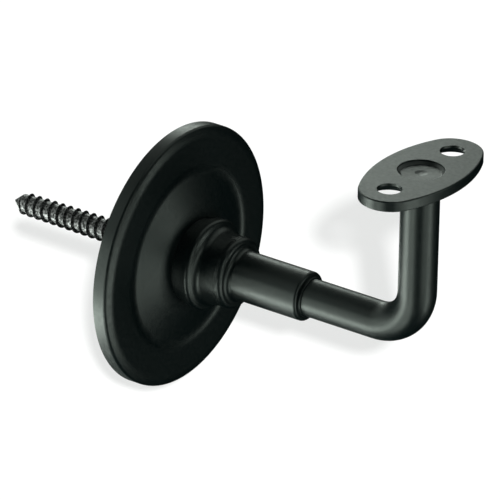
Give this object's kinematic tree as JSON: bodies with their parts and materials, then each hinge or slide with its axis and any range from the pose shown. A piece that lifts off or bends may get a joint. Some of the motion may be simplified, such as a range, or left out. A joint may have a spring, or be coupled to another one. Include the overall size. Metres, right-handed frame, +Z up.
{
  "type": "handrail bracket",
  "caption": "Wall bracket for a handrail: round domed rosette, moulded collar, round arm bent upwards and an oval saddle plate with screw holes, held by a hanger bolt.",
  "frame": {"origin": "on the arm's axis in the wall plane, at the centre of the rosette's back rim", "axes": "+X out of the wall along the arm, +Y along the handrail and the saddle plate's length, +Z up"},
  "size_m": [0.1662, 0.084, 0.0963],
  "materials": {
    "black_coat": "satin black powder coat",
    "bolt_steel": "dull galvanised steel, unpolished"
  },
  "bodies": {
    "root": {"wall_rosette": "black_coat", "arm_collar": "black_coat", "support_arm": "black_coat", "saddle_plate": "black_coat", "hanger_bolt": "bolt_steel"}
  },
  "joints": []
}
